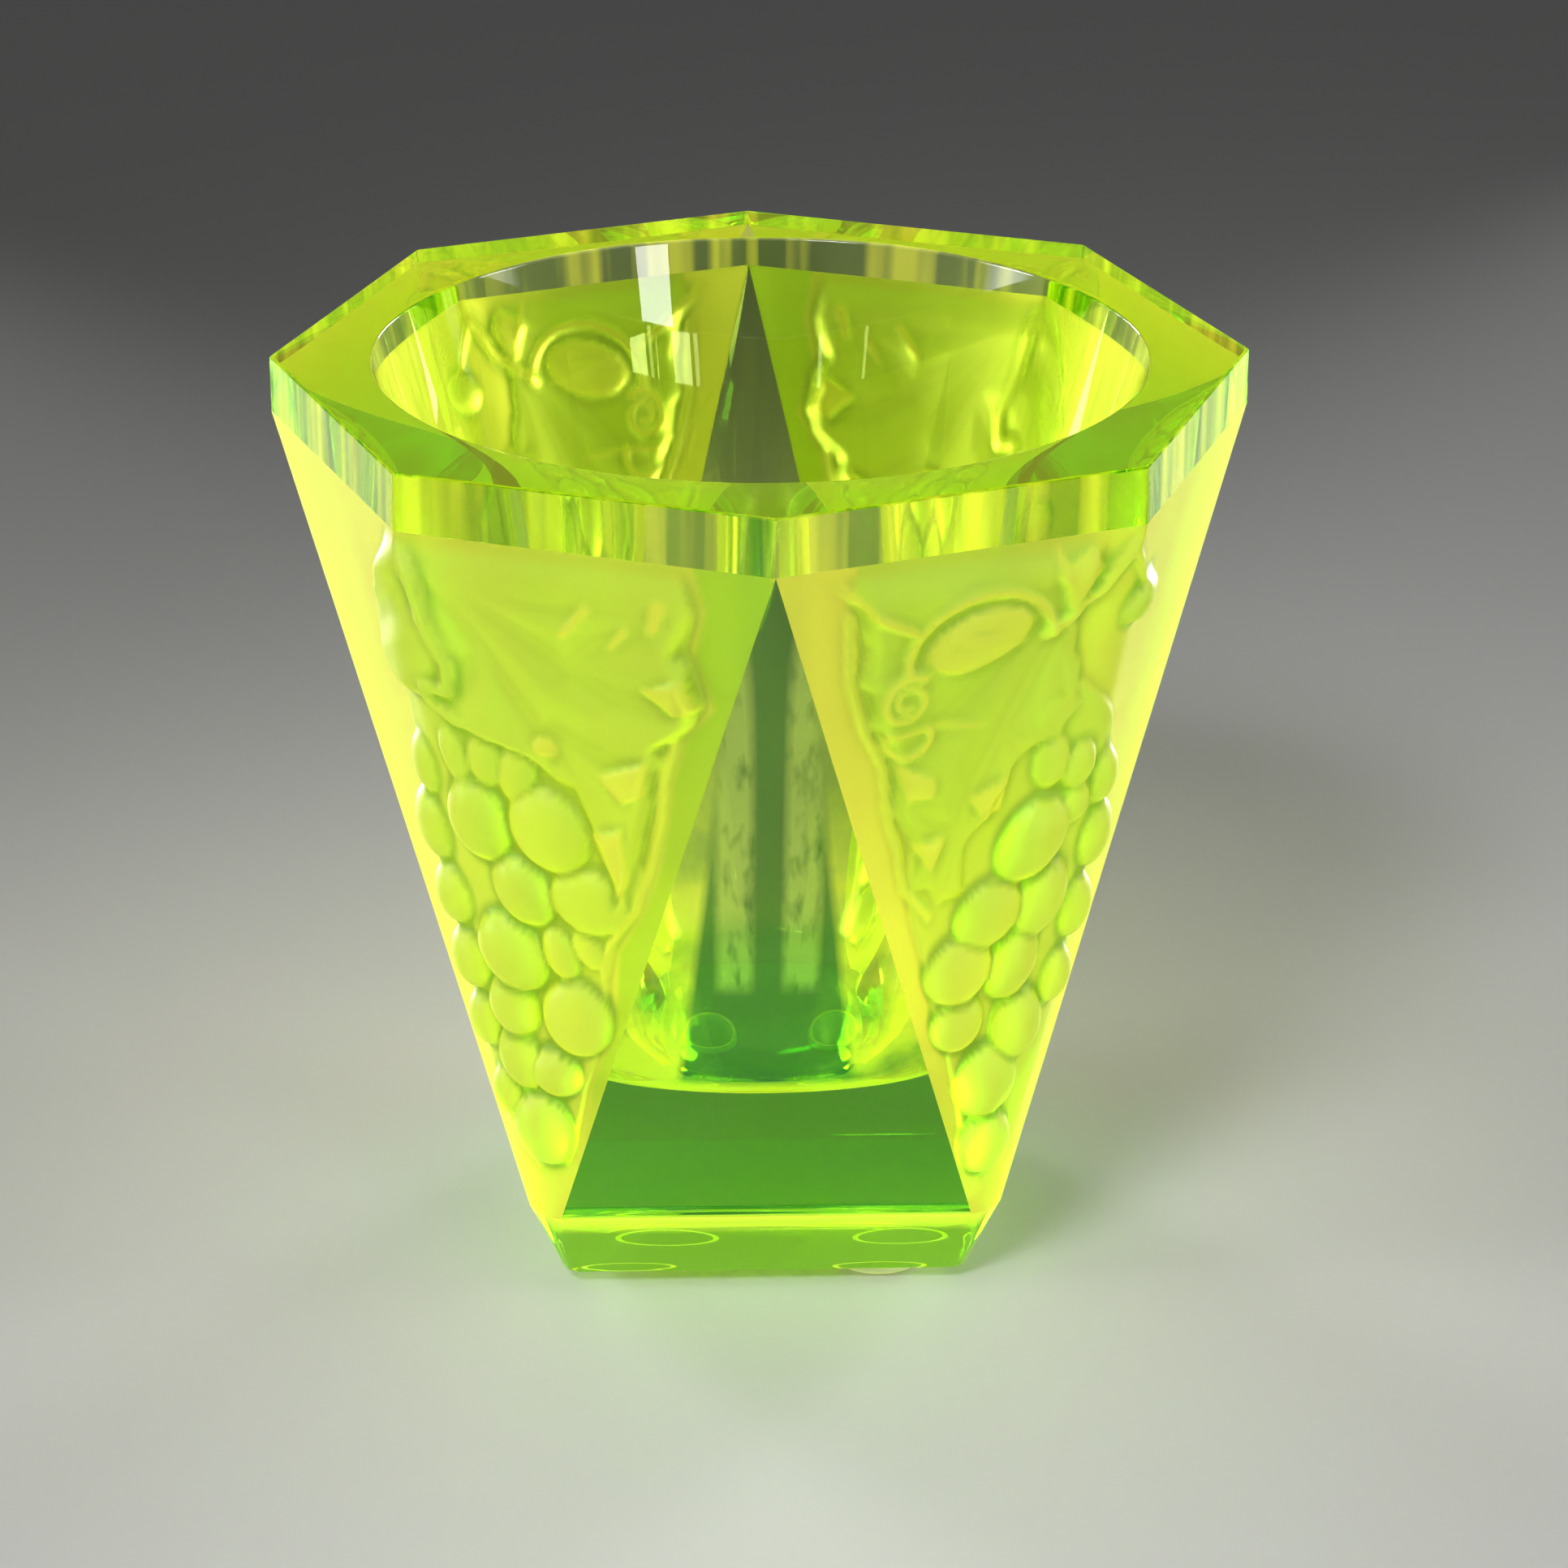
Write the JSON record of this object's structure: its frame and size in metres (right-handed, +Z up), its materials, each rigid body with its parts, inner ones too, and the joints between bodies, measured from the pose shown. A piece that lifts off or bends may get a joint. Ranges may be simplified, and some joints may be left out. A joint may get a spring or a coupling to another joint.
{
  "type": "cut glass vase",
  "caption": "Thick cut uranium-glass vase with an octagonal rim, clear triangular facets, satin corner panels, a square foot and a round tapered well, on clear bumper pads.",
  "frame": {"origin": "centre of the foot, on the surface that the four bumper pads stand on", "axes": "+Z up along the well's axis, a polished facet faces -Y, +X to the viewer's right"},
  "size_m": [0.095, 0.095, 0.0914],
  "materials": {
    "uranium_glass": "polished rim, facets, foot and well, satin corner panels",
    "clear_bumper": "clear soft plastic, glossy"
  },
  "bodies": {
    "root": {"glass_body": "uranium_glass", "bumper_front_left": "clear_bumper", "bumper_front_right": "clear_bumper", "bumper_back_left": "clear_bumper", "bumper_back_right": "clear_bumper"}
  },
  "joints": []
}
